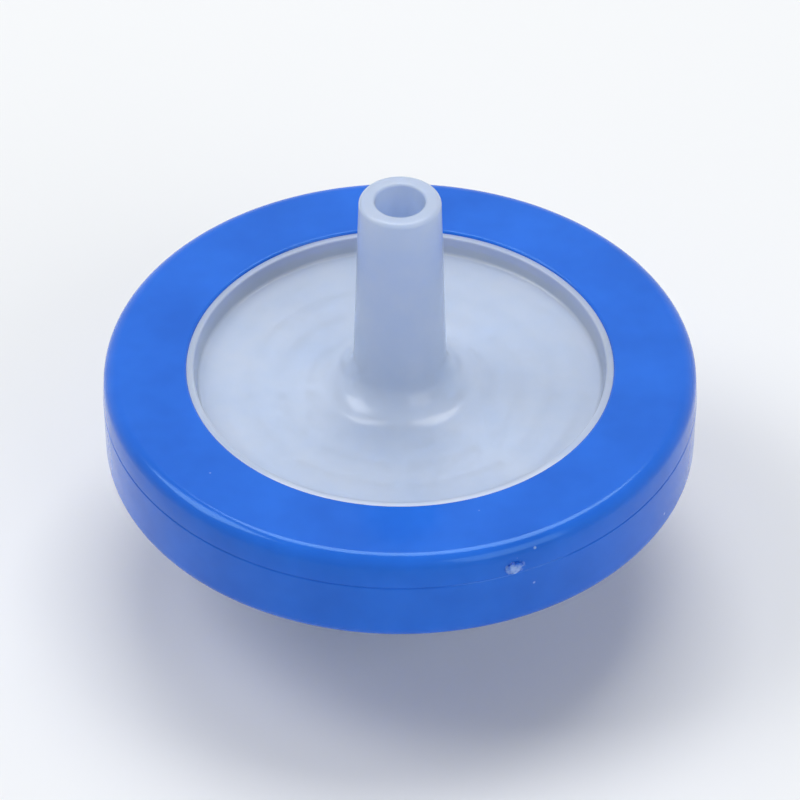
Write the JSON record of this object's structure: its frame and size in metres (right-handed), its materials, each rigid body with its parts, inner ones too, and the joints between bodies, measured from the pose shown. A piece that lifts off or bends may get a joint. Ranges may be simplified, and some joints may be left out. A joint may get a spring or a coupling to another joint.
{
  "type": "syringe filter",
  "caption": "Round syringe filter: blue overmoulded ring, translucent housing halves, white membrane, female luer lock inlet and male luer slip outlet.",
  "frame": {"origin": "centre of the inlet port's end face, on which the filter stands", "axes": "+Z along the filter's axis, from the inlet port up to the outlet nozzle's tip; +X towards one of the inlet port's two ears"},
  "size_m": [0.03, 0.03, 0.0232],
  "materials": {
    "blue_polypropylene": "glossy moulded royal blue plastic",
    "natural_polypropylene": "satin moulded translucent milky plastic",
    "white_membrane": "matte white porous film"
  },
  "bodies": {
    "root": {"inlet_housing": "natural_polypropylene", "membrane": "white_membrane", "outlet_housing": "natural_polypropylene", "overmould_ring": "blue_polypropylene"}
  },
  "joints": []
}
